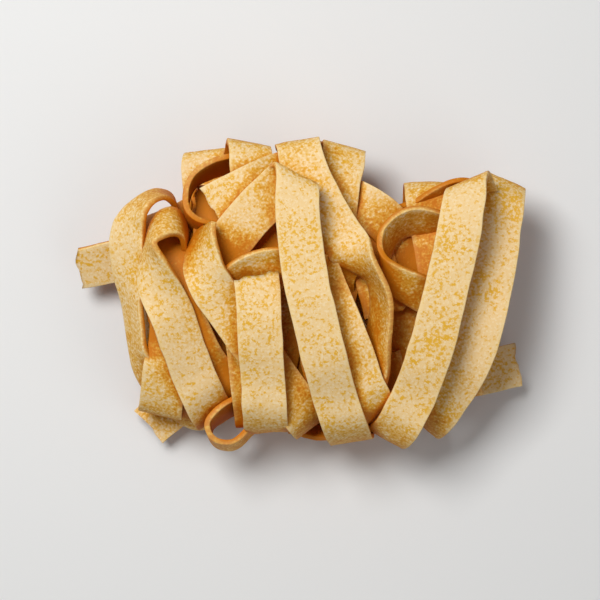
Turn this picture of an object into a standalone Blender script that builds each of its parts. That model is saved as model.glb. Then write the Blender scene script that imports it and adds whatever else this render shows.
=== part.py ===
"""A dry pasta nest: broad egg-pasta ribbons folded, looped and dried into one oval mound.

Metres, +Z up. The nest lies on its flat underside at Z = 0, with its origin under the middle of its
bounding box. +X runs along the oval, and +Y points to the edge where the ribbons fold over.
The ribbons are one bundle, so the nest is one solid: a core with every outer ribbon raised on it.
"""

import math

import bmesh
import bpy
from mathutils import Matrix, Vector

# Driving sizes of the nest
NEST_LENGTH = 0.114      # along X, without the loose end
NEST_BREADTH = 0.084     # along Y
NEST_HEIGHT = 0.045      # along Z
RIBBON_WIDTH = 0.012
RIBBON_RELIEF = 0.0030   # how thick a ribbon stands in the solid
SURFACE_CELL = 0.0015    # cell of the surface that joins the ribbons
TRIANGLE_SHARE = 0.13    # triangles kept of that surface

# Sizes worked out from them
HALF_LENGTH = NEST_LENGTH / 2
HALF_BREADTH = NEST_BREADTH / 2
WAIST_HEIGHT = 0.40 * NEST_HEIGHT        # the level where the mound is widest
CROWN = 0.94 * NEST_HEIGHT - WAIST_HEIGHT   # from the waist to the top of an average ribbon
BELLY = 1.50 * WAIST_HEIGHT              # from the waist down, past the floor that trims it
CORE_SHARE = 0.94                        # the core's size against the mound
ROUNDNESS = 0.70                         # 1 is an ellipse, less is squarer

# The ribbons that run over the mound from the open edge to the folded edge:
# where each crosses the X axis against HALF_LENGTH, its lean in degrees, and its lift
LIMBS = (
    (-0.77, 6, 0.88),
    (-0.62, -20, 0.98),
    (-0.46, -11, 0.93),
    (-0.30, 24, 1.02),
    (-0.05, -10, 1.09),
    (0.16, -21, 0.95),
    (0.31, -29, 1.03),
    (0.62, 15, 1.07),
    (0.79, -4, 0.92),
)
LIMB_STATIONS = 34
LIMB_TUCK = math.radians(32)             # how far each end turns under the waist
SWIRL_COUNT = 4          # ribbons that lie on edge round the mound
SWIRL_STATIONS = 44
SWIRL_SWEEP = math.radians(235)
EAR_STATIONS = 26
EAR_LEAN = math.radians(20)
PASTA_COLOUR = (0.86, 0.62, 0.24, 1.0)
PASTA_ROUGHNESS = 0.62


def clear_scene():
    for old in list(bpy.data.objects):
        bpy.data.objects.remove(old, do_unlink=True)


def squared(value):
    """A cosine or sine made squarer, so that the mound has a full outline."""
    return math.copysign(abs(value) ** ROUNDNESS, value)


def mound_point(around, rise, share=1.0):
    """A point of the mound's surface: around is the angle in plan, rise the angle above the waist."""
    level = squared(math.sin(rise))
    out = share * squared(math.cos(rise))
    height = CROWN if level > 0 else BELLY
    return Vector((
        HALF_LENGTH * out * squared(math.cos(around)),
        HALF_BREADTH * out * squared(math.sin(around)),
        WAIST_HEIGHT + share * height * level,
    ))


def add_core(mesh):
    """The packed middle of the bundle, a squared oval mound."""
    bmesh.ops.create_uvsphere(mesh, u_segments=40, v_segments=20, radius=1.0)
    for vert in mesh.verts:
        around = math.atan2(vert.co.y, vert.co.x)
        rise = math.asin(max(-1.0, min(1.0, vert.co.z)))
        vert.co = mound_point(around, rise, CORE_SHARE)


def add_ribbon(mesh, centres, across):
    """A closed flat bar along centres. across holds the ribbon's width direction at each of them."""
    rings = []
    last = len(centres) - 1
    for i, centre in enumerate(centres):
        along = (centres[min(i + 1, last)] - centres[max(i - 1, 0)]).normalized()
        side = (across[i] - along * across[i].dot(along)).normalized()
        face = along.cross(side)
        half_width = side * RIBBON_WIDTH / 2
        half_depth = face * RIBBON_RELIEF / 2
        corners = (
            centre - half_width - half_depth,
            centre + half_width - half_depth,
            centre + half_width + half_depth,
            centre - half_width + half_depth,
        )
        rings.append([mesh.verts.new(corner) for corner in corners])
    for ring, following in zip(rings, rings[1:]):
        for k in range(4):
            mesh.faces.new((ring[k], ring[(k + 1) % 4], following[(k + 1) % 4], following[k]))
    mesh.faces.new(list(reversed(rings[0])))
    mesh.faces.new(rings[-1])


def add_limbs(mesh):
    """Ribbons side by side over the mound, each leaning its own way and folded under at both edges."""
    for place, lean_degrees, lift in LIMBS:
        lean = math.radians(lean_degrees)
        heading = Vector((math.sin(lean), math.cos(lean), 0))
        across = Vector((math.cos(lean), -math.sin(lean), 0))
        reach = math.sqrt(1 - 0.76 * place * place)
        level_share = lift * math.sqrt(1 - 0.42 * place * place)
        centres = []
        for k in range(LIMB_STATIONS):
            turn = -LIMB_TUCK + (math.pi + 2 * LIMB_TUCK) * k / (LIMB_STATIONS - 1)
            run = -(0.93 + 0.07 * lift) * HALF_BREADTH * reach * squared(math.cos(turn))
            level = squared(math.sin(turn))
            height = (CROWN if level > 0 else BELLY) * level_share * level
            centres.append(Vector((place * HALF_LENGTH, 0, WAIST_HEIGHT + height)) + heading * run)
        add_ribbon(mesh, centres, [across] * LIMB_STATIONS)


def add_swirls(mesh):
    """Ribbons that lie on edge round the mound at rising levels, as the outer turns of the nest do."""
    for i in range(SWIRL_COUNT):
        start = math.radians(160 + 97 * i)
        centres = []
        across = []
        for k in range(SWIRL_STATIONS):
            around = start + SWIRL_SWEEP * k / (SWIRL_STATIONS - 1)
            rise = math.radians(-30 + 17 * i + 12 * math.sin(2 * around + i))
            share = 0.94 + 0.04 * math.sin(3 * around + 1.3 * i)
            centre = mound_point(around, rise, share)
            outward = Vector((centre.x, centre.y, 0)).normalized()
            centres.append(centre)
            across.append(Vector((0, 0, 1)) - outward * math.sin(rise))
        add_ribbon(mesh, centres, across)


def add_ear(mesh, middle, radius, start, sweep):
    """A ribbon curled into a standing loop, with its axis leaning outwards from the nest's middle."""
    outward = Vector((middle.x, middle.y, 0)).normalized()
    axis = (Vector((0, 0, 1)) + outward * math.tan(EAR_LEAN)).normalized()
    first = axis.orthogonal().normalized()
    centres = []
    for k in range(EAR_STATIONS):
        turned = Matrix.Rotation(start + sweep * k / (EAR_STATIONS - 1), 3, axis) @ first
        centres.append(middle + turned * radius)
    add_ribbon(mesh, centres, [axis] * EAR_STATIONS)


def add_ears(mesh):
    """The two loops that stand at the folded edge, one each side of the middle."""
    radius = 0.68 * RIBBON_WIDTH
    right_of_middle = mound_point(math.radians(36), math.radians(58), 0.90)
    left_of_middle = mound_point(math.radians(127), math.radians(38), 0.86)
    add_ear(mesh, right_of_middle, radius, 0.3, math.radians(345))
    add_ear(mesh, left_of_middle, radius, 1.2, math.radians(320))


def add_cut_ends(mesh):
    """Two cut ends: one lies on top near the open edge, the other runs out of the nest at its -X side."""
    lowest = Vector((-0.24 * HALF_LENGTH, -0.92 * HALF_BREADTH, 0.55 * NEST_HEIGHT))
    bend = Vector((-0.23 * HALF_LENGTH, -0.45 * HALF_BREADTH, 0.98 * NEST_HEIGHT))
    tip = Vector((-0.22 * HALF_LENGTH, 0.22 * HALF_BREADTH, 0.90 * NEST_HEIGHT))
    steps = [k / 12 for k in range(13)]
    over_bend = [lowest.lerp(bend, t).lerp(bend.lerp(tip, t), t) for t in steps]
    add_ribbon(mesh, over_bend, [Vector((1, 0, 0))] * 13)
    inner = Vector((-0.60 * HALF_LENGTH, 0.24 * HALF_BREADTH, 0.42 * NEST_HEIGHT))
    outer = Vector((-HALF_LENGTH - 0.78 * RIBBON_WIDTH, 0.10 * HALF_BREADTH, 0.36 * NEST_HEIGHT))
    add_ribbon(mesh, [inner.lerp(outer, t) for t in steps], [Vector((-0.2, 1, 0.1))] * 13)


def pasta_material():
    material = bpy.data.materials.new("dry_pasta")
    material.use_nodes = True
    shader = material.node_tree.nodes["Principled BSDF"]
    shader.inputs["Base Color"].default_value = PASTA_COLOUR
    shader.inputs["Roughness"].default_value = PASTA_ROUGHNESS
    shader.inputs["Metallic"].default_value = 0.0
    return material


def floor_cutter():
    """The block below Z = 0 that trims the nest's underside flat."""
    block = bmesh.new()
    size = 4 * NEST_LENGTH
    bmesh.ops.create_cube(block, size=size, matrix=Matrix.Translation((0, 0, -size / 2)))
    data = bpy.data.meshes.new("floor_cutter")
    block.to_mesh(data)
    block.free()
    cutter = bpy.data.objects.new("floor_cutter", data)
    cutter.hide_render = True
    cutter.display_type = "WIRE"
    bpy.context.scene.collection.objects.link(cutter)
    return cutter


def bundle_mesh():
    """The core and every ribbon as overlapping closed shells in one mesh."""
    mesh = bmesh.new()
    add_core(mesh)
    add_limbs(mesh)
    add_swirls(mesh)
    add_ears(mesh)
    add_cut_ends(mesh)
    bmesh.ops.recalc_face_normals(mesh, faces=mesh.faces)
    data = bpy.data.meshes.new("bundle")
    mesh.to_mesh(data)
    mesh.free()
    return data


def islands_of(mesh):
    """The mesh's vertices, grouped by what hangs together."""
    waiting = set(mesh.verts)
    groups = []
    while waiting:
        group = {waiting.pop()}
        edge_of_group = list(group)
        while edge_of_group:
            vert = edge_of_group.pop()
            near = {edge.other_vert(vert) for edge in vert.link_edges} - group
            group |= near
            edge_of_group.extend(near)
        waiting -= group
        groups.append(group)
    return groups


def one_skin(nest):
    """Makes the overlapping shells one outer skin, without the small bubbles that they shut in."""
    joined = nest.modifiers.new("join_ribbons", "REMESH")
    joined.mode = "VOXEL"
    joined.voxel_size = SURFACE_CELL
    bpy.context.view_layer.update()
    graph = bpy.context.evaluated_depsgraph_get()
    mesh = bmesh.new()
    mesh.from_mesh(nest.evaluated_get(graph).to_mesh())
    nest.modifiers.remove(joined)
    outer = max(islands_of(mesh), key=len)
    bmesh.ops.delete(mesh, geom=[vert for vert in mesh.verts if vert not in outer], context="VERTS")
    mesh.to_mesh(nest.data)
    mesh.free()


def build_nest():
    nest = bpy.data.objects.new("pasta_nest", bundle_mesh())
    bpy.context.scene.collection.objects.link(nest)
    one_skin(nest)
    nest.data.materials.append(pasta_material())
    nest.data.shade_smooth()
    thinned = nest.modifiers.new("thin_surface", "DECIMATE")
    thinned.ratio = TRIANGLE_SHARE
    trimmed = nest.modifiers.new("flat_underside", "BOOLEAN")
    trimmed.operation = "DIFFERENCE"
    trimmed.solver = "EXACT"
    trimmed.object = floor_cutter()
    return nest


def centre_over_origin(nest):
    """Moves the nest in plan, so that the middle of its box is over the origin."""
    bpy.context.view_layer.update()
    corners = [Vector(c) for c in nest.evaluated_get(bpy.context.evaluated_depsgraph_get()).bound_box]
    middle_x = (min(c.x for c in corners) + max(c.x for c in corners)) / 2
    middle_y = (min(c.y for c in corners) + max(c.y for c in corners)) / 2
    nest.location = (-middle_x, -middle_y, 0)


clear_scene()
centre_over_origin(build_nest())
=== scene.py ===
"""Looks of the dry pasta nest: broad egg ribbons, folded over each other and dried stiff.

The CAD mound is replaced by the ribbons themselves. Each ribbon is laid on a plan in millimetres,
tucked under the nest by a rule, settled against its neighbours, and then given its real thickness.
"""

import math

import bpy
import numpy as np
from mathutils import Matrix, Vector
from mathutils.bvhtree import BVHTree


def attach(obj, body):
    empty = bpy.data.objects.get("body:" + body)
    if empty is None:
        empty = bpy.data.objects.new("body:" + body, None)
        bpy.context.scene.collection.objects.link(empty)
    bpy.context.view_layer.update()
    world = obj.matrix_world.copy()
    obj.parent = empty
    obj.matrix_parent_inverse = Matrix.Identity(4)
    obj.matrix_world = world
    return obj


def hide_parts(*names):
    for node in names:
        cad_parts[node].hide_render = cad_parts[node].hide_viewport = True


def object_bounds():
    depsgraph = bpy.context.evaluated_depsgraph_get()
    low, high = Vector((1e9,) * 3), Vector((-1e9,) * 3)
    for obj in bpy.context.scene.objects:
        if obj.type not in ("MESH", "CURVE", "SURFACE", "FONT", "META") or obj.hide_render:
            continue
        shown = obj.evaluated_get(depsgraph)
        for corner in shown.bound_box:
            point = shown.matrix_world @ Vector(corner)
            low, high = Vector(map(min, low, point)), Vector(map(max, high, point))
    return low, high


MM = 0.001

# The ribbons, in millimetres
RIBBON_WIDTH = 12.0
RIBBON_THICKNESS = 1.5
STATION_STEP = 2.5
STRANDS = 5
STRAND_GAP = RIBBON_WIDTH / (STRANDS - 1)

# Settling
SETTLE_ROUNDS = 260
PAIR_REFRESH = 8
CONTACT_GAP = RIBBON_THICKNESS + 0.12
CONTACT_REACH = 4.4
CONTACT_SIDE = 2.1
SAME_RIBBON_APART = 7
BUCKET = 8
PLAN_PULL = 0.03         # how strongly each round draws the ribbons to the plan, at first
EVENNESS = 0.5           # share of an uneven shift that one pass takes away
PUSH = 1.3               # how far past the needed shift a contact pushes
FLOOR_GAP = 0.1

# Studio, in metres
FLOOR_HALF = 1.5
CAMERA_HEIGHT = 0.70
LENS = 150
SENSOR = 36
WORLD_STRENGTH = 0.16

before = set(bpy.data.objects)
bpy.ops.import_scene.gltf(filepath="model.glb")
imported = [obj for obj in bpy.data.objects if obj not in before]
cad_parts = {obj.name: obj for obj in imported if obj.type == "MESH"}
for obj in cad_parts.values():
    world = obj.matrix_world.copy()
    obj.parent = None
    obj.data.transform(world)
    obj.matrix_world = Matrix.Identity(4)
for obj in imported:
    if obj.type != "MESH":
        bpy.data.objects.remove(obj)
cad_low, cad_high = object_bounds()
CENTRE_X = (cad_low[0] + cad_high[0]) / 2 / MM
CENTRE_Y = (cad_low[1] + cad_high[1]) / 2 / MM

# The plan's own zero, measured from the middle of the nest
PLAN_X = CENTRE_X + 2.0
PLAN_Y = CENTRE_Y + 1.0


# ---------------------------------------------------------------- the plan of the ribbons
# A knot is (x, y) of the left edge, (x, y) of the right edge, the height of the middle, and the lean:
# 1 where the right edge stands higher, -1 where the left one does, 0 where the ribbon lies flat.
# "tuck" gives for an end how far it swings out, how high it comes back under the nest, how far it runs on,
# and how far it drifts sideways meanwhile. None leaves an end inside the nest, and "cut" shows it.

LIMBS = {
    "outer_arch": {
        "knots": [
            (-20, -33, -17, -25.5, 6, 1), (-28, -36.5, -25, -29.5, 8, 1),
            (-36, -35.5, -31.6, -29, 12.5, 1), (-42, -30, -36.6, -24.8, 17.5, 1),
            (-45.2, -22, -39.8, -18.6, 22, 1), (-46, -12, -41, -10, 25.4, 1),
            (-47.4, -2, -41.6, -1, 27.4, 1), (-49.8, 8, -40.4, 7.4, 29.6, 1),
            (-50.6, 15.4, -41, 14, 31, 1), (-49.2, 20.8, -41.2, 18, 32, 1),
            (-45.8, 24.2, -41.4, 20.8, 32.8, 1), (-42, 26.6, -40.2, 24, 32.4, 1),
            (-38.8, 27.8, -38, 26, 29.6, 1), (-36.2, 27, -36.4, 25.6, 25, 1),
            (-34.8, 24, -36, 22.8, 17, 1)],
        "tuck": [None, None]},
    "left_fold": {
        "knots": [
            (-35.6, -25, -26.4, -17.4, 29, 0), (-41.4, -5, -31, 1.4, 35, 0),
            (-43.6, 0.5, -33.8, 5.4, 36.4, 1), (-43, 6.5, -36.6, 10, 37.6, 1),
            (-42.2, 12.2, -38.8, 13.6, 38.6, 1), (-41, 18.4, -38.6, 14.6, 38.6, 1),
            (-38.4, 22.8, -36.6, 16, 37.4, 1), (-35.4, 23.8, -34.4, 16.4, 34.6, 1),
            (-33.4, 20.8, -32.8, 13.6, 30, 1), (-32, 15, -32.4, 8.4, 24, 1)],
        "tuck": [(12.5, 5, 26, 5), None]},
    "left_inner": {
        "knots": [
            (-41, 18, -31, 20, 26, 0), (-40.6, 14, -30, 15, 31.6, 0), (-40.4, 7, -29.6, 8, 34, 0),
            (-39, -2, -28.4, -1, 33.4, 0), (-35, -13, -24, -12, 30, 0), (-28, -24, -18, -21, 25, 0)],
        "tuck": [None, (8, 11, 22, -3)]},
    "left_back": {
        "knots": [
            (-41.2, 24, -31.8, 28.4, 15, 0), (-42.8, 15, -32.8, 19.6, 19.6, 0),
            (-43, 6, -31.8, 8, 21.8, 0), (-40.4, -6, -29, -5, 21.2, 0)],
        "tuck": [(0.6, 5, 14, 0), (15, 8, 12, 5)]},
    "left_front": {
        "knots": [
            (-29.4, 18.2, -25.8, 18, 31.6, 1), (-31.2, 15.6, -25.4, 15.6, 34.4, 1),
            (-32.9, 11.2, -23.8, 11.4, 36.8, 1), (-33.2, 6.2, -22, 7.2, 38, 1),
            (-31, 1, -20, 4, 38.2, 0), (-26.8, -5.2, -16.4, 1, 37, 0), (-20, -15, -10, -8, 34.6, 0),
            (-13, -26.5, -3.4, -19, 29.5, 0)],
        "tuck": [None, (14, 7, 30, 8)]},
    "centre_fold": {
        "knots": [
            (-38, 3, -29, -5.5, 26, 0), (-31.8, 12, -22.6, 4.2, 30, 0),
            (-26, 20.2, -17.2, 11.6, 33.6, 0), (-19.4, 28.2, -10.8, 19.6, 36.8, 0),
            (-14, 33, -4.6, 25.6, 38.4, 0), (-11, 35.2, -0.6, 29.4, 39.4, 0),
            (-9.8, 35.2, 1.6, 29.2, 41.6, 0), (-9.2, 32.4, 2.5, 26.5, 43.4, 0),
            (-8.6, 25, 3.3, 21.5, 44, 0), (-7.6, 15, 4.4, 13.6, 44.3, 0), (-6.2, 4, 5.9, 3.6, 44.2, 0),
            (-3.8, -6, 8.2, -6, 43.2, 0), (-0.6, -18, 11.2, -17.5, 40.4, 0),
            (2, -28, 13.8, -26.5, 35, 0)],
        "tuck": [None, (11, 2, 34, 9)]},
    "short_front": {
        "knots": [
            (-19.4, 3.6, -7.7, 6.4, 41.4, 0), (-19.2, -3, -7.2, -2.5, 41.5, 0),
            (-18.8, -13, -6.8, -13, 39.6, 0), (-18, -24, -6, -24, 34.8, 0)],
        "tuck": ["cut", (12.5, 4, 30, -6)]},
    "front_arch": {
        "knots": [
            (-25, -2, -23, -9, 25, -1), (-21.6, 5.2, -20.4, -2.4, 31, -1),
            (-18.6, 10.8, -17, 2.6, 36, -1), (-13.2, 13.8, -12.6, 4.8, 38, -1),
            (-7, 14.4, -7.4, 5.2, 38, -1), (0, 12.5, -1.6, 4.2, 35, -1), (6, 9, 4, 1.5, 31, -1),
            (10, 4, 8, -2, 24, -1)],
        "tuck": [None, None]},
    "back_middle": {
        "knots": [
            (-20.4, 39, -9, 36, 30.5, 0), (-19.4, 32, -7.8, 31, 32.2, 0),
            (-17.5, 23, -5.7, 23.5, 31.4, 0), (-14.5, 13, -3, 14, 29.5, 0), (-11, 3, 0.3, 5, 27.5, 0)],
        "tuck": [(4.0, 9, 26, -6), None]},
    "right_sweep": {
        "knots": [
            (-7.6, 36.5, 2.6, 39.5, 33, 0), (-6.2, 30.6, 5, 33.4, 35.6, 0),
            (-2.2, 23.6, 8, 27.8, 37.4, 0), (1.8, 17.6, 11.2, 21.8, 38.8, 0),
            (6, 12.4, 14.4, 16.8, 39.8, 0), (11.6, 8.4, 17.6, 10.6, 40, 1),
            (15.8, 5, 20.2, 4.6, 39.2, 1), (17.2, 0, 22, -0.6, 38, 1), (17, -7, 22.2, -7.6, 36.2, 1),
            (14.8, -15, 21.4, -16, 33.6, 1), (13, -23, 20, -24.6, 29.6, 1),
            (10, -30, 17, -33, 23.6, 1), (5.6, -31, 11.6, -36, 15.6, 1), (0.5, -29, 4.8, -35.6, 9, 1),
            (-6, -25, -2.4, -32, 7, 1)],
        "tuck": [(4.4, 6, 30, 8), None]},
    "right_under": {
        "knots": [
            (-6, 18, 4.6, 23, 31.5, 0), (-3.4, 9, 8.1, 10.6, 36, 0), (2, -3.6, 13, 1.2, 37.6, 0),
            (5.2, -11, 16.2, -6.6, 37, 0), (9.5, -22, 20.5, -17.5, 33, 0)],
        "tuck": [None, (12, 9, 26, -2)]},
    "left_ring": {
        "knots": [
            (-8, 38.6, -8.4, 35.4, 22, -1), (-15, 39.8, -15.2, 36.2, 25.5, -1),
            (-21, 38.8, -21, 35, 27.6, -1), (-26.4, 36.6, -26, 32.8, 29, -1),
            (-30.8, 33.2, -30.2, 29.4, 29.8, -1), (-33.2, 28.4, -32.8, 24.8, 30.2, -1),
            (-33.4, 24, -33.2, 20.4, 30, -1), (-31, 21.4, -30.6, 17.6, 29.6, -1),
            (-26.8, 20.8, -26.6, 17, 29, -1), (-21, 22.6, -20.4, 19, 27.6, -1),
            (-15, 24, -14.6, 20.4, 25, -1)],
        "tuck": [None, None]},
    "ring_end": {
        "knots": [
            (-29.4, 28.8, -24.6, 18.6, 33.8, 0), (-24, 32, -18.6, 21.8, 34.4, 0),
            (-18.6, 35, -12.6, 24.8, 34.4, 0), (-12, 38, -7, 28.4, 31.5, 0), (-4, 40, -1, 31, 25.5, 0),
            (4, 38, 5, 29, 18.5, 0)],
        "tuck": ["cut", None]},
    "right_back": {
        "knots": [
            (4.6, 40.5, 15, 37.4, 23.6, 0), (3.4, 31, 14, 30.4, 26.4, 0), (3.0, 20, 13.6, 20.5, 26, 0),
            (4.4, 9, 15, 10, 23.6, 0), (7, -2, 18, 0, 22, 0)],
        "tuck": [(3.2, 10, 24, -7), None]},
    "right_valley": {
        "knots": [
            (4.5, 21, 8.5, 32, 22, 0), (12, 18.6, 15.4, 29, 25, 0), (17.6, 14.4, 22.4, 24.6, 25.6, 0),
            (22, 8, 29, 17, 24, 0), (26, 0, 34, 8.5, 22, 0)],
        "tuck": [None, None]},
    "right_ring": {
        "knots": [
            (42, 14, 43, 7, 24, -1), (39, 19.2, 39.8, 12, 28.6, -1),
            (34.6, 22.6, 35.4, 15.4, 31.6, -1), (29, 24.4, 30, 17, 33, -1),
            (23.6, 23, 25, 15.6, 33.8, -1), (20, 18.2, 22.2, 9.6, 34.2, -1),
            (20.6, 12.2, 23.2, 3, 34, -1), (24.6, 8.4, 27, -0.6, 33.4, -1),
            (29.6, 5.4, 31.4, -3.4, 31.8, -1), (35, 1.6, 36, -6.6, 28.4, -1),
            (40, -3.4, 40.6, -11, 24, -1)],
        "tuck": [None, None]},
    "right_front": {
        "knots": [
            (41, 27, 51.8, 30, 24, 0), (38, 27.4, 51.4, 34.6, 31, 0), (35.8, 25.2, 50.8, 33, 34.6, 0),
            (34.5, 22, 49.4, 28, 37, 0), (33.2, 17.6, 47.6, 21, 38.4, 0),
            (31.4, 10.6, 44.9, 12, 39.2, 0), (29.4, 3, 42.6, 3.8, 39.2, 0),
            (27.2, -5.5, 40, -6, 38.4, 0), (24, -16, 36, -18.6, 35.8, 0), (21, -24, 31.6, -30, 30.6, 0)],
        "tuck": [None, (12, 3, 30, -9)]},
    "back_arch": {
        "knots": [
            (26, 28.5, 28.4, 22, 21, -1), (29.4, 33.4, 31.4, 26.8, 26, -1),
            (33, 37, 34.8, 30.4, 29, -1), (37.6, 38.6, 38.4, 32, 30, -1), (42.2, 38, 42, 32, 28.8, -1),
            (46, 35, 45.2, 29.6, 24.4, -1), (48.6, 29.6, 47.6, 25, 18, -1)],
        "tuck": [None, None]},
    "ring_back": {
        "knots": [
            (15.6, 11, 19.4, 9, 18, -1), (16.4, 17.4, 21, 14.6, 22, -1),
            (19, 23.6, 23, 19.4, 24.4, -1), (24, 27.2, 26.4, 22, 25, -1),
            (30, 28.8, 30.4, 23.4, 23.4, -1), (36, 27, 34.6, 22, 19.6, -1)],
        "tuck": [None, None]},
    "far_right": {
        "knots": [
            (46, 25, 54.6, 22, 14, 0), (47.4, 33, 56.6, 28.4, 20.6, 0), (46.6, 30.4, 56.8, 25, 25, 0),
            (44.6, 18, 56, 14.6, 28, 0), (43.2, 6, 54.8, 3.4, 29.6, 0), (41, -4, 52.4, -7.6, 30.2, 0),
            (38, -15.6, 48.4, -21, 28.4, 0), (34.4, -24, 42.6, -31.6, 24.4, -1)],
        "tuck": [None, (9, 5, 26, -8)]},
    "low_ring": {
        "knots": [
            (-8, -29, -8, -33, 14, -1), (-14.6, -27.4, -14.2, -31.6, 17.6, -1),
            (-20.6, -26.8, -19.8, -31, 19.6, -1), (-26, -28.6, -25, -32.6, 20.6, -1),
            (-29, -32.6, -27.6, -36, 20.2, -1), (-27, -37, -25.4, -39.8, 18.6, -1),
            (-22, -38, -20.8, -40.6, 16.6, -1), (-17.8, -34.6, -17, -37.6, 14.4, -1),
            (-12.8, -30, -12.2, -33.4, 11.5, -1)],
        "tuck": [None, None]},
    "low_stray": {
        "knots": [
            (-46.6, -33.4, -39.8, -42.6, 7, 0), (-38.6, -27, -31.6, -36.4, 9, 0),
            (-28, -19, -21, -28.6, 12, 0), (-16, -12, -9.6, -21.8, 15, 0)],
        "tuck": ["cut", None]},
    "right_stray": {
        "knots": [
            (56.6, -13.6, 59.4, -24.6, 8, 0), (47, -15.6, 49.6, -27, 9.6, 0),
            (36, -17, 38, -28.6, 12, 0), (24, -16, 25, -27.8, 14, 0)],
        "tuck": ["cut", None]},
    "left_stray": {
        "knots": [
            (-64, 12.8, -62.6, 2.4, 12.5, -1), (-53, 16, -51, 5, 15, -1), (-41, 19, -39, 7.6, 18, -1),
            (-28, 20.5, -27, 8.8, 20.5, -1), (-14, 19, -14, 7, 22, -1)],
        "tuck": ["cut", None]},
    "back_stray": {
        "knots": [
            (-34.6, 38, -23, 39.5, 9, 0), (-34.8, 31, -23, 32, 12, 0), (-34.6, 20, -23, 21, 15, 0),
            (-32, 6, -20.4, 9, 18, 0)],
        "tuck": [(1.6, 2.6, 20, 5), None]},
}


def knot_rows(limb):
    """The knots as middles and as width vectors, both in millimetres in the frame."""
    middles, widths = [], []
    for left_x, left_y, right_x, right_y, height, lean in limb["knots"]:
        across = np.array([right_x - left_x, right_y - left_y, 0.0])
        flat = min(np.hypot(across[0], across[1]), RIBBON_WIDTH)
        across[2] = lean * math.sqrt(RIBBON_WIDTH ** 2 - flat ** 2)
        middles.append([(left_x + right_x) / 2 + PLAN_X, (left_y + right_y) / 2 + PLAN_Y, height])
        widths.append(across)
    return np.array(middles), np.array(widths)


# Round a tuck: the angle in degrees, the share of the drift so far, and the share of the tilt that is left
TUCK_TURNS = ((30, 0.05, 0.9), (60, 0.12, 0.7), (90, 0.2, 0.5), (120, 0.3, 0.35), (150, 0.4, 0.2))


def tuck_rows(middle, inner, width, tuck):
    """Knots that carry an end outward, round and back under the nest."""
    reach, low, run, drift = tuck
    heading = (middle - inner) * (1, 1, 0)
    heading /= np.linalg.norm(heading)
    drop = (middle[2] - low) / 2
    rows, widths = [], []
    for angle, slip, tilt in TUCK_TURNS:
        out = reach * math.sin(math.radians(angle))
        down = drop * (1 - math.cos(math.radians(angle)))
        rows.append(middle + heading * out + np.array([drift * slip, 0, -down]))
        widths.append(width * (1, 1, tilt))
    for share in (0.3, 0.65, 1.0):
        slip = drift * (0.45 + 0.55 * share)
        rows.append(middle - heading * run * share + np.array([slip, 0, low + 1.5 * share - middle[2]]))
        widths.append(width * (1, 1, 0.1))
    return rows, widths


def smooth_through(rows, where, fine):
    """A cubic curve through the rows, which stand at the given distances, read at the fine ones."""
    slopes = np.gradient(rows, where, axis=0)
    span = np.clip(np.searchsorted(where, fine, side="right") - 1, 0, len(where) - 2)
    length = (where[span + 1] - where[span])[:, None]
    t = (fine[:, None] - where[span][:, None]) / length
    return ((2 * t ** 3 - 3 * t ** 2 + 1) * rows[span] + (t ** 3 - 2 * t ** 2 + t) * length * slopes[span]
            + (3 * t ** 2 - 2 * t ** 3) * rows[span + 1] + (t ** 3 - t ** 2) * length * slopes[span + 1])


def lay_ribbon(middles, widths):
    """Particles of one ribbon: stations along it, strands across it."""
    where = np.concatenate([[0], np.cumsum(np.linalg.norm(np.diff(middles, axis=0), axis=1))])
    fine = np.linspace(0, where[-1], int(where[-1] * 4))
    line = smooth_through(middles, where, fine)
    across = smooth_through(widths, where, fine)
    run = np.concatenate([[0], np.cumsum(np.linalg.norm(np.diff(line, axis=0), axis=1))])
    count = max(6, round(run[-1] / STATION_STEP))
    at = np.linspace(0, run[-1], count)
    line = np.stack([np.interp(at, run, line[:, k]) for k in range(3)], axis=1)
    across = np.stack([np.interp(at, run, across[:, k]) for k in range(3)], axis=1)
    across *= RIBBON_WIDTH / np.linalg.norm(across, axis=1)[:, None]
    strands = np.linspace(-0.5, 0.5, STRANDS)
    return line[:, None, :] + strands[None, :, None] * across[:, None, :]


def limb_particles(limb):
    """One ribbon laid from its listed knots, with its tucked ends."""
    middles, widths = knot_rows(limb)
    start, end = limb["tuck"]
    middle_list, width_list = list(middles), list(widths)
    if isinstance(end, tuple):
        rows, across = tuck_rows(middles[-1], middles[-2], widths[-1], end)
        middle_list += rows
        width_list += across
    if isinstance(start, tuple):
        rows, across = tuck_rows(middles[0], middles[1], widths[0], start)
        middle_list = rows[::-1] + middle_list
        width_list = across[::-1] + width_list
    return lay_ribbon(np.array(middle_list), np.array(width_list))


# Inner coils: place along the nest, half breadth, half height, yaw, start angle and sweep in degrees
COILS = [
    (-37, 20, 10, 14, 200, 330), (-31, 30, 12.5, -10, 90, 350), (-22, 25, 8.5, 20, -60, 330),
    (-13, 32, 11, 6, 30, 350), (-5, 26, 9, -14, 160, 340), (3, 32, 12, 10, 260, 350),
    (11, 27, 9, -18, 40, 330), (20, 29, 10, 12, 120, 340), (30, 23, 6.5, -12, -20, 340),
    (38, 29.5, 11.5, 8, 210, 340), (47, 22, 10, -10, 80, 330),
]
COIL_HEIGHT = 17.5


def coil_particles(place, breadth, height, yaw, start, sweep):
    """A ribbon wound round the nest's long axis, inside the listed ones."""
    turn = math.radians(yaw)
    along = np.array([math.cos(turn), math.sin(turn), 0.0])
    side = np.array([-math.sin(turn), math.cos(turn), 0.0])
    up = np.array([0.0, 0.0, 1.0])
    middles, widths = [], []
    for share in np.linspace(0, 1, 18):
        angle = math.radians(start + sweep * share)
        middle = np.array([place + CENTRE_X, CENTRE_Y, COIL_HEIGHT]) + along * (share - 0.5) * 6
        middle = middle + side * breadth * math.cos(angle) + up * height * math.sin(angle)
        middles.append(middle)
        widths.append(along * RIBBON_WIDTH)
    return lay_ribbon(np.array(middles), np.array(widths))


# ---------------------------------------------------------------- settling the ribbons

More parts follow.
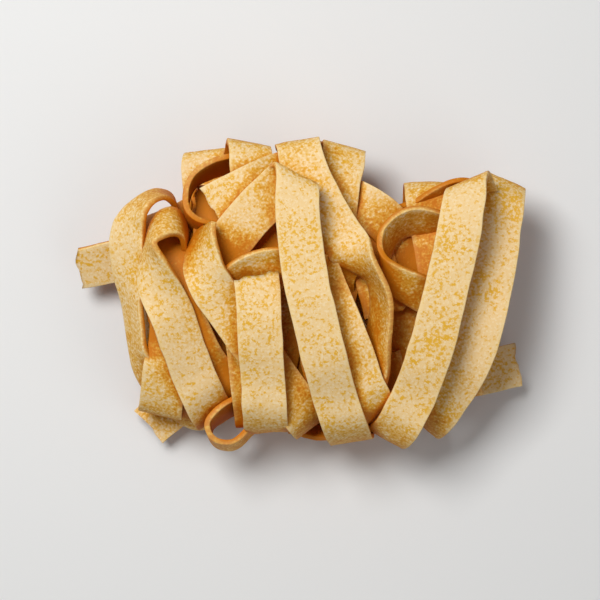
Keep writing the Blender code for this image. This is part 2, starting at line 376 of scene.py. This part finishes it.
def unit(rows):
    return rows / np.maximum(np.linalg.norm(rows, axis=-1, keepdims=True), 1e-9)


class Settling:
    """All particles in one table, with the springs that keep each ribbon a flat strip of its own length."""

    def __init__(self, ribbons):
        self.shapes = [ribbon.shape[:2] for ribbon in ribbons]
        self.points = np.concatenate([ribbon.reshape(-1, 3) for ribbon in ribbons])
        self.design = self.points.copy()
        total = len(self.points)
        self.before = np.arange(total)
        self.after = np.arange(total)
        self.left = np.arange(total)
        self.right = np.arange(total)
        self.ribbon = np.zeros(total, int)
        self.station = np.zeros(total, int)
        self.strand = np.zeros(total, int)
        self.bucket = np.zeros(total, int)
        self.last = np.zeros(total, int)
        self.springs = []
        gathered = {}
        offset = buckets = 0
        for number, (stations, strands) in enumerate(self.shapes):
            grid = offset + np.arange(stations * strands).reshape(stations, strands)
            self.before[grid[1:]] = grid[:-1]
            self.after[grid[:-1]] = grid[1:]
            self.left[grid[:, 1:]] = grid[:, :-1]
            self.right[grid[:, :-1]] = grid[:, 1:]
            self.ribbon[grid] = number
            self.station[grid] = np.arange(stations)[:, None]
            self.strand[grid] = np.arange(strands)[None, :]
            self.bucket[grid] = buckets + self.station[grid] // BUCKET
            self.last[grid] = stations - 1
            self.note_springs(gathered, grid)
            offset += stations * strands
            buckets += stations // BUCKET + 1
        self.sides = np.zeros((buckets, buckets))
        for stiff, *columns in gathered.values():
            self.springs.append((stiff, *(np.concatenate(column) for column in columns)))

    def note_springs(self, gathered, grid):
        """Springs in groups within which no particle comes twice."""
        station_length = np.linalg.norm(
            np.diff(self.design[grid[:, STRANDS // 2]], axis=0), axis=1).mean()
        slant = math.hypot(station_length, STRAND_GAP)

        def note(name, stiff, first, second, rest=None):
            group = gathered.setdefault(name, (stiff, [], [], []))
            if rest is None:
                rest = np.linalg.norm(self.design[first] - self.design[second], axis=-1)
            group[1].append(first.ravel())
            group[2].append(second.ravel())
            group[3].append(np.broadcast_to(rest, first.shape).ravel().astype(float))

        for parity in (0, 1):
            ahead = grid[parity + 1::2]
            behind = grid[parity:-1:2][:len(ahead)]
            note(("along", parity), 0.9, behind, ahead, station_length)
            note(("slant", parity), 0.35, behind[:, :-1], ahead[:, 1:], slant)
            note(("counter", parity), 0.35, behind[:, 1:], ahead[:, :-1], slant)
            beside = grid[:, parity + 1::2]
            note(("across", parity), 0.9, grid[:, parity:-1:2][:, :beside.shape[1]], beside, STRAND_GAP)
            keep = [s for s in range(len(grid) - 2) if s % 4 // 2 == parity]
            note(("bend", parity), 0.25, grid[keep], grid[np.array(keep) + 2])
        note(("broad", 0), 0.9, grid[:, 0], grid[:, -1], RIBBON_WIDTH)
        note(("half", 0), 0.5, grid[:, 0], grid[:, 2], RIBBON_WIDTH / 2)
        note(("half", 1), 0.5, grid[:, 2], grid[:, 4], RIBBON_WIDTH / 2)

    def pull_springs(self):
        for stiff, first, second, rest in self.springs:
            gap = self.points[second] - self.points[first]
            length = np.maximum(np.linalg.norm(gap, axis=1), 1e-6)
            move = gap * (0.5 * stiff * (length - rest) / length)[:, None]
            self.points[first] += move
            self.points[second] -= move

    def faces(self):
        along = unit(self.points[self.after] - self.points[self.before])
        across = unit(self.points[self.right] - self.points[self.left])
        return along, across, unit(np.cross(along, across))

    def find_pairs(self):
        """Every ordered pair of particles near enough to touch, from different stretches of ribbon."""
        cells = np.floor((self.points - self.points.min(0)) / CONTACT_REACH).astype(np.int64) + 1
        size = cells.max(0) + 2
        keys = (cells[:, 0] * size[1] + cells[:, 1]) * size[2] + cells[:, 2]
        order = np.argsort(keys, kind="stable")
        ranked = keys[order]
        firsts, seconds = [], []
        for step_x in (-1, 0, 1):
            for step_y in (-1, 0, 1):
                for step_z in (-1, 0, 1):
                    wanted = keys + (step_x * size[1] + step_y) * size[2] + step_z
                    low = np.searchsorted(ranked, wanted, "left")
                    high = np.searchsorted(ranked, wanted, "right")
                    count = high - low
                    first = np.repeat(np.arange(len(keys)), count)
                    spot = np.arange(count.sum()) - np.repeat(np.cumsum(count) - count, count)
                    firsts.append(first)
                    seconds.append(order[np.repeat(low, count) + spot])
        first, second = np.concatenate(firsts), np.concatenate(seconds)
        apart = (self.ribbon[first] != self.ribbon[second]) | (
            np.abs(self.station[first] - self.station[second]) >= SAME_RIBBON_APART)
        first, second = first[apart], second[apart]
        near = np.linalg.norm(self.points[first] - self.points[second], axis=1) < CONTACT_REACH
        self.first, self.second = first[near], second[near]

    def settle_sides(self):
        """On which face of a stretch its neighbour lies, decided once by most of its particles."""
        normal = self.faces()[2]
        lift = ((self.points[self.first] - self.points[self.second]) * normal[self.second]).sum(1)
        rows, columns = self.bucket[self.first], self.bucket[self.second]
        fresh = self.sides[rows, columns] == 0
        votes = np.zeros_like(self.sides)
        np.add.at(votes, (rows[fresh], columns[fresh]), lift[fresh])
        self.sides += np.sign(votes) * (self.sides == 0)

    def push_apart(self):
        along, across, normal = self.faces()
        first, second = self.first, self.second
        gap = self.points[first] - self.points[second]
        distance = np.maximum(np.linalg.norm(gap, axis=1), 1e-6)
        lift = (gap * normal[second]).sum(1)
        side = self.sides[self.bucket[first], self.bucket[second]]
        past = (gap * across[second]).sum(1)
        ahead = (gap * along[second]).sum(1)
        flat = np.sqrt(np.maximum(distance ** 2 - lift ** 2, 0))
        inside = (flat < CONTACT_SIDE) & (side != 0)
        inside &= ~((self.strand[second] == 0) & (past < -0.5))
        inside &= ~((self.strand[second] == STRANDS - 1) & (past > 0.5))
        inside &= ~((self.station[second] == 0) & (ahead < -0.5))
        inside &= ~((self.station[second] == self.last[second]) & (ahead > 0.5))
        short = np.where(inside, CONTACT_GAP - lift * side, 0)
        short = np.clip(short, 0, 1.0)
        move = normal[second] * (0.5 * side * short)[:, None]
        close = np.clip(CONTACT_GAP - distance, 0, 0.6) * (short == 0)
        move += gap / distance[:, None] * (0.5 * close)[:, None]
        touched = (short > 0) | (close > 0)
        total = np.zeros_like(self.points)
        for column in range(3):
            total[:, column] = (np.bincount(first[touched], move[touched, column], len(total))
                                - np.bincount(second[touched], move[touched, column], len(total)))
        count = (np.bincount(first[touched], minlength=len(total))
                 + np.bincount(second[touched], minlength=len(total)))
        self.points += total / np.maximum(count, 1)[:, None] * PUSH

    def even_out(self, share):
        """Spreads each shift from the plan over the stations beside it, so that no dent stays local."""
        shift = self.points - self.design
        beside = (shift[self.before] + shift[self.after]) / 2
        across = (shift[self.left] + shift[self.right]) / 2
        self.points += ((beside + across) / 2 - shift) * share

    def keep_in_box(self):
        edge = RIBBON_THICKNESS / 2 + 0.1
        low = np.array(cad_low) / MM + (edge, edge, edge)
        high = np.array(cad_high) / MM - (edge, edge, edge)
        self.points += (np.clip(self.points, low, high) - self.points) * 0.6

    def run(self, rounds):
        for step in range(rounds):
            if step % PAIR_REFRESH == 0:
                self.find_pairs()
                self.settle_sides()
            share = step / rounds
            self.points += (self.design - self.points) * PLAN_PULL * (1 - share) ** 2
            self.pull_springs()
            self.push_apart()
            self.even_out(EVENNESS)
            self.even_out(EVENNESS)
            self.keep_in_box()
        return self.split()

    def split(self):
        out, offset = [], 0
        for stations, strands in self.shapes:
            out.append(self.points[offset:offset + stations * strands].reshape(stations, strands, 3))
            offset += stations * strands
        return out


# ---------------------------------------------------------------- from particles to pasta

FINE_STEP = 0.9
FACE_POINTS = 11
EDGE_POINTS = 4
SHADE_RAYS = 16
SHADE_REACH = 14.0


def spread(rows, count):
    """The rows read again at an even count, on a smooth curve."""
    where = np.arange(len(rows), dtype=float)
    fine = np.linspace(0, len(rows) - 1, count)
    return smooth_through(rows.reshape(len(rows), -1), where, fine).reshape((count,) + rows.shape[1:])


def hills(along, across, seed):
    """Smooth uneven values from -1 to 1 over a ribbon, from a seeded lattice."""
    table = np.random.default_rng(seed).uniform(-1, 1, (96, 96))
    along, across = along + 11.3, across + 17.7
    row, column = np.floor(along).astype(int), np.floor(across).astype(int)
    u, v = along - row, across - column
    u, v = u * u * (3 - 2 * u), v * v * (3 - 2 * v)
    row, column = row % 95, column % 95
    near = table[row, column] * (1 - v) + table[row, column + 1] * v
    far = table[row + 1, column] * (1 - v) + table[row + 1, column + 1] * v
    return near * (1 - u) + far * u


def section_ring():
    """Places round the ribbon's section: across from -1 to 1, and -1 or 1 for its two faces."""
    face = np.linspace(-0.955, 0.955, FACE_POINTS)
    right_edge = [(0.988, 0.93), (1.0, 0.62), (1.0, -0.62), (0.988, -0.93)]
    top = [(place, 1.0) for place in face]
    bottom = [(place, -1.0) for place in face[::-1]]
    left_edge = [(-place, height) for place, height in right_edge[::-1]]
    return np.array(top + right_edge + bottom + left_edge)


RING = section_ring()


def sky_directions():
    """Directions spread evenly over the upper half of a ball."""
    directions = []
    for k in range(SHADE_RAYS):
        rise = 0.16 + 0.82 * (k + 0.5) / SHADE_RAYS
        turn = k * 2.39996
        flat = math.sqrt(1 - rise * rise)
        directions.append((flat * math.cos(turn), flat * math.sin(turn), rise))
    return directions


def fold_shade(ribbons):
    """How much of the open air each particle's two faces miss: 0 in the open, 1 deep in a fold. The material
    paints shade into the pasta's colour from it.
    """
    verts, quads = [], []
    for sheet in ribbons:
        grid = len(verts) + np.arange(sheet.shape[0] * STRANDS).reshape(sheet.shape[:2])
        verts += sheet.reshape(-1, 3).tolist()
        corners = np.stack([grid[:-1, :-1], grid[:-1, 1:], grid[1:, 1:], grid[1:, :-1]], axis=-1)
        quads += corners.reshape(-1, 4).tolist()
    tree = BVHTree.FromPolygons(verts, quads)
    sky = sky_directions()
    shades = []
    for sheet in ribbons:
        along = unit(np.gradient(sheet, axis=0))
        across = unit(np.gradient(sheet, axis=1))
        normal = unit(np.cross(along, across))
        shade = np.zeros((2,) + sheet.shape[:2])
        for face, sign in ((0, 1.0), (1, -1.0)):
            for station in range(sheet.shape[0]):
                for strand in range(STRANDS):
                    facing = normal[station, strand] * sign
                    origin = Vector(sheet[station, strand] + facing * 0.5)
                    hidden = 0
                    for a, b, c in sky:
                        way = Vector(along[station, strand] * a + across[station, strand] * b + facing * c)
                        hit = tree.ray_cast(origin, way, SHADE_REACH)[0]
                        hidden += hit is not None or way.z < -0.15
                    shade[face, station, strand] = hidden / SHADE_RAYS
        shades.append(shade)
    return shades


def read_across(sheet, place):
    """The sheet's rows at one place across, from -1 to 1."""
    spot = (place + 1) / 2 * (STRANDS - 1)
    low = min(int(spot), STRANDS - 2)
    share = spot - low
    return sheet[:, low] * (1 - share) + sheet[:, low + 1] * share


def ribbon_mesh(name, particles, shade, number):
    """The solid ribbon with its rounded edges, uneven width and slightly torn ends."""
    length = np.linalg.norm(np.diff(particles[:, STRANDS // 2], axis=0), axis=1).sum()
    count = int(length / FINE_STEP)
    sheet = spread(particles, count)
    upper, lower = (spread(shade[face], count) for face in (0, 1))
    along = unit(np.gradient(sheet, axis=0))
    across = unit(np.gradient(sheet, axis=1))
    normal = unit(np.cross(along, across))
    verts = np.zeros((count, len(RING), 3))
    painted_shade_share = np.zeros((count, len(RING)))
    at = np.arange(count) * FINE_STEP
    end = np.minimum(np.arange(count), np.arange(count)[::-1])
    first_half = np.arange(count) < count / 2
    taper = np.clip((3 - end) / 3, 0, 1)
    for column, (place, face) in enumerate(RING):
        across_mm = place * RIBBON_WIDTH / 2
        surface = read_across(sheet, place)
        facing = unit(read_across(normal, place))
        swell = hills(at / 7, np.full(count, across_mm / 6), 100 + number)
        grain = hills(at / 1.3, np.full(count, across_mm / 1.3), 200 + number + int(face > 0) * 50)
        trim = hills(at / 4.5, np.full(count, np.sign(place) * 3.0), 300 + number)
        thick = RIBBON_THICKNESS / 2 * (1 + 0.10 * swell) * face + 0.18 * swell + 0.05 * grain * face
        point = surface + facing * thick[:, None]
        point += read_across(across, place) * (place * 0.20 * trim)[:, None]
        torn = np.where(first_half, hills(np.array([2.0]), np.array([across_mm / 3.1]), 400 + number),
                        hills(np.array([7.0]), np.array([across_mm / 3.1]), 400 + number))
        nick = np.where(first_half, hills(np.array([2.0]), np.array([across_mm / 1.1]), 500 + number),
                        hills(np.array([7.0]), np.array([across_mm / 1.1]), 500 + number))
        point += read_across(along, place) * ((0.9 * torn + 0.4 * nick) * taper)[:, None]
        verts[:, column] = point
        both = (1 + face) / 2
        painted_shade_share[:, column] = read_across(upper, place) * both + read_across(lower, place) * (1 - both)
    ring = len(RING)
    loops = np.arange(count * ring).reshape(count, ring)
    quads = np.stack([loops[:-1], np.roll(loops[:-1], -1, 1), np.roll(loops[1:], -1, 1), loops[1:]], axis=-1)
    faces = quads.reshape(-1, 4).tolist()
    for loop, flip in ((loops[0], True), (loops[-1], False)):
        over = loop[:FACE_POINTS]
        under = loop[FACE_POINTS + EDGE_POINTS:2 * FACE_POINTS + EDGE_POINTS][::-1]
        right = loop[FACE_POINTS:FACE_POINTS + EDGE_POINTS]
        left = loop[2 * FACE_POINTS + EDGE_POINTS:]
        cap = [[over[k], over[k + 1], under[k + 1], under[k]] for k in range(FACE_POINTS - 1)]
        cap.append([over[-1], *right, under[-1]])
        cap.append([under[0], *left, over[0]])
        faces += [[int(v) for v in (face if flip else face[::-1])] for face in cap]
    mesh = bpy.data.meshes.new(name)
    mesh.from_pydata((verts.reshape(-1, 3) * MM).tolist(), [], faces)
    # Mask of the cut edges, for the painted highlight along them.
    edge_highlight = (np.abs(RING[:, 0]) > 0.95).astype(float)
    mesh.attributes.new("cut_edge", "FLOAT", "POINT").data.foreach_set("value", np.tile(edge_highlight, count))
    mesh.attributes.new("fold_shade", "FLOAT", "POINT").data.foreach_set("value", painted_shade_share.ravel())
    mesh.shade_smooth()
    piece = bpy.data.objects.new(name, mesh)
    bpy.context.collection.objects.link(piece)
    return piece


# ---------------------------------------------------------------- materials

def add_node(tree, kind, inputs=None, **settings):
    """A node with its settings and its inputs, each a plain value or another node's output."""
    node = tree.nodes.new(kind)
    for key, value in settings.items():
        setattr(node, key, value)
    for key, value in (inputs or {}).items():
        if isinstance(value, bpy.types.NodeSocket):
            tree.links.new(value, node.inputs[key])
        else:
            node.inputs[key].default_value = value
    return node


def mix_colours(tree, share, first, second):
    return add_node(tree, "ShaderNodeMix", {0: share, 6: first, 7: second}, data_type="RGBA").outputs[2]


def between(tree, value, low, high):
    """0 below low, 1 above high, and smooth in between."""
    return add_node(tree, "ShaderNodeMapRange", {"Value": value, "From Min": low, "From Max": high},
                    interpolation_type="SMOOTHSTEP").outputs["Result"]


def mottle_and_painted_shade_group():
    """Mottling of dried egg dough: golden blotches, pale flour and a fine grain, with painted shade on top:
    golden, then deep orange-brown in the folds.
    """
    group = bpy.data.node_groups.new("semolina_mottle_and_painted_shade", "ShaderNodeTree")
    for name in ("Flour", "Golden", "PaintedShade"):
        group.interface.new_socket(name, in_out="INPUT", socket_type="NodeSocketColor")
    for name in ("Blotches", "Shade"):
        group.interface.new_socket(name, in_out="INPUT", socket_type="NodeSocketFloat")
    group.interface.new_socket("Colour", in_out="OUTPUT", socket_type="NodeSocketColor")
    group.interface.new_socket("Grain", in_out="OUTPUT", socket_type="NodeSocketFloat")
    given = group.nodes.new("NodeGroupInput")
    result = group.nodes.new("NodeGroupOutput")
    place = add_node(group, "ShaderNodeTexCoord").outputs["Object"]

    def speckle(scale, detail, rough=0.5):
        return add_node(group, "ShaderNodeTexNoise", {"Vector": place, "Scale": scale, "Detail": detail,
                                                      "Roughness": rough}).outputs["Fac"]

    def maths(operation, first, second):
        return add_node(group, "ShaderNodeMath", {0: first, 1: second}, operation=operation).outputs[0]

    patches = speckle(95.0, 2.0)
    blotch = speckle(900.0, 2.0, 0.6)
    dust = speckle(1500.0, 1.0)
    drift = maths("MULTIPLY", maths("SUBTRACT", patches, 0.5), 0.45)
    gold = maths("ADD", maths("ADD", blotch, drift), given.outputs["Blotches"])
    gold_share = between(group, gold, 0.50, 0.64)
    flour_share = between(group, dust, 0.50, 0.68)
    body = mix_colours(group, 0.36, given.outputs["Flour"], given.outputs["Golden"])
    mottled = mix_colours(group, gold_share, body, given.outputs["Golden"])
    floured = mix_colours(group, maths("MULTIPLY", flour_share, 0.75), mottled, given.outputs["Flour"])
    # Painted shade: the fold shade, made grainy by the speckles, tints the colour golden and then deep
    # orange-brown.
    uneven = maths("ADD", given.outputs["Shade"], maths("MULTIPLY", maths("SUBTRACT", blotch, dust), 0.55))
    half_shaded = mix_colours(group, maths("MULTIPLY", between(group, uneven, 0.04, 0.36), 0.92), floured,
                            given.outputs["Golden"])
    shaded = mix_colours(group, maths("MULTIPLY", between(group, uneven, 0.20, 0.58), 0.95), half_shaded,
                         given.outputs["PaintedShade"])
    group.links.new(shaded, result.inputs["Colour"])
    group.links.new(maths("ADD", maths("MULTIPLY", dust, 0.6), blotch), result.inputs["Grain"])
    return group


def pasta_material(name, group, flour, golden, deep, blotches, edge):
    """Dried egg pasta, with painted shade in its folds, and its cut edges painted paler as a highlight where
    they stand open.
    """
    material = bpy.data.materials.new(name)
    material.use_nodes = True
    tree = material.node_tree
    tree.nodes.clear()
    shade = add_node(tree, "ShaderNodeAttribute", attribute_name="fold_shade").outputs["Fac"]
    mottle = add_node(tree, "ShaderNodeGroup", node_tree=group)
    mottle.inputs["Flour"].default_value = flour
    mottle.inputs["Golden"].default_value = golden
    # The deep colour is the painted shade of the folds.
    mottle.inputs["PaintedShade"].default_value = deep
    mottle.inputs["Blotches"].default_value = blotches
    tree.links.new(shade, mottle.inputs["Shade"])
    edge_highlight = add_node(tree, "ShaderNodeAttribute", attribute_name="cut_edge").outputs["Fac"]
    # Painted highlight: the cut edges are painted paler only where they stand open, away from the painted
    # shade.
    lit_share = add_node(tree, "ShaderNodeMath", {0: 0.62, 1: shade}, operation="SUBTRACT", use_clamp=True)
    edge_highlight = add_node(tree, "ShaderNodeMath", {0: edge_highlight, 1: lit_share.outputs[0]}, operation="MULTIPLY").outputs[0]
    colour = mix_colours(tree, edge_highlight, mottle.outputs["Colour"], edge)
    bump = add_node(tree, "ShaderNodeBump", {
        "Strength": 0.35, "Distance": 0.0002, "Height": mottle.outputs["Grain"]})
    shader = add_node(tree, "ShaderNodeBsdfPrincipled", {
        "Base Color": colour, "Roughness": 0.62, "Specular IOR Level": 0.25,
        "Normal": bump.outputs["Normal"]})
    output = add_node(tree, "ShaderNodeOutputMaterial")
    tree.links.new(shader.outputs[0], output.inputs[0])
    return material


# ---------------------------------------------------------------- making everything

names = list(LIMBS)
ribbons = [limb_particles(LIMBS[name]) for name in names]
for number, coil in enumerate(COILS):
    names.append("inner_coil_%02d" % (number + 1))
    ribbons.append(coil_particles(*coil))

settling = Settling(ribbons)
ribbons = settling.run(SETTLE_ROUNDS)

# The colours: pale flour; golden, for the blotches and the first step of painted shade; deep orange-brown
# painted shade for the folds; the blotch share; the paler painted highlight for the open edges.
pasta = pasta_material("egg_pasta", mottle_and_painted_shade_group(), (0.90, 0.71, 0.43, 1), (0.78, 0.42, 0.03, 1),
                       (0.60, 0.18, 0.001, 1), 0.015, (0.88, 0.66, 0.32, 1))
shades = fold_shade(ribbons)
pieces = []
for number, (name, particles, shade) in enumerate(zip(names, ribbons, shades)):
    piece = ribbon_mesh("ribbon_" + name, particles, shade, number)
    piece.data.materials.append(pasta)
    pieces.append(piece)

lowest = min(vert.co.z for piece in pieces for vert in piece.data.vertices)
for piece in pieces:
    piece.data.transform(Matrix.Translation((0, 0, FLOOR_GAP * MM - lowest)))
    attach(piece, "root")
    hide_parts("pasta_nest")


# ---------------------------------------------------------------- studio

def add_floor():
    mesh = bpy.data.meshes.new("floor")
    corners = [(x * FLOOR_HALF, y * FLOOR_HALF, 0) for x, y in ((-1, -1), (1, -1), (1, 1), (-1, 1))]
    mesh.from_pydata(corners, [], [(0, 1, 2, 3)])
    floor = bpy.data.objects.new("floor", mesh)
    bpy.context.collection.objects.link(floor)
    material = bpy.data.materials.new("pale_floor")
    material.use_nodes = True
    shader = material.node_tree.nodes["Principled BSDF"]
    shader.inputs["Base Color"].default_value = (0.8, 0.8, 0.79, 1)
    shader.inputs["Roughness"].default_value = 0.8
    mesh.materials.append(material)


def add_light(name, place, size, power):
    data = bpy.data.lights.new(name, "AREA")
    data.size = size
    data.energy = power
    light = bpy.data.objects.new(name, data)
    bpy.context.collection.objects.link(light)
    light.location = place
    light.rotation_euler = (-Vector(place)).to_track_quat("-Z", "Y").to_euler()


def add_camera():
    data = bpy.data.cameras.new("camera")
    data.lens = LENS
    data.sensor_width = SENSOR
    camera = bpy.data.objects.new("camera", data)
    bpy.context.collection.objects.link(camera)
    camera.location = (CENTRE_X * MM, CENTRE_Y * MM, CAMERA_HEIGHT)
    bpy.context.scene.camera = camera


add_floor()
add_light("key", (-0.22, 0.24, 0.62), 0.30, 4.1)
add_light("fill", (0.45, -0.3, 0.6), 0.6, 0.9)
world = bpy.data.worlds.new("studio")
world.use_nodes = True
sky = world.node_tree.nodes["Background"]
sky.inputs["Color"].default_value = (1, 1, 1, 1)
sky.inputs["Strength"].default_value = WORLD_STRENGTH
bpy.context.scene.world = world
bpy.context.scene.view_settings.view_transform = "Standard"
add_camera()
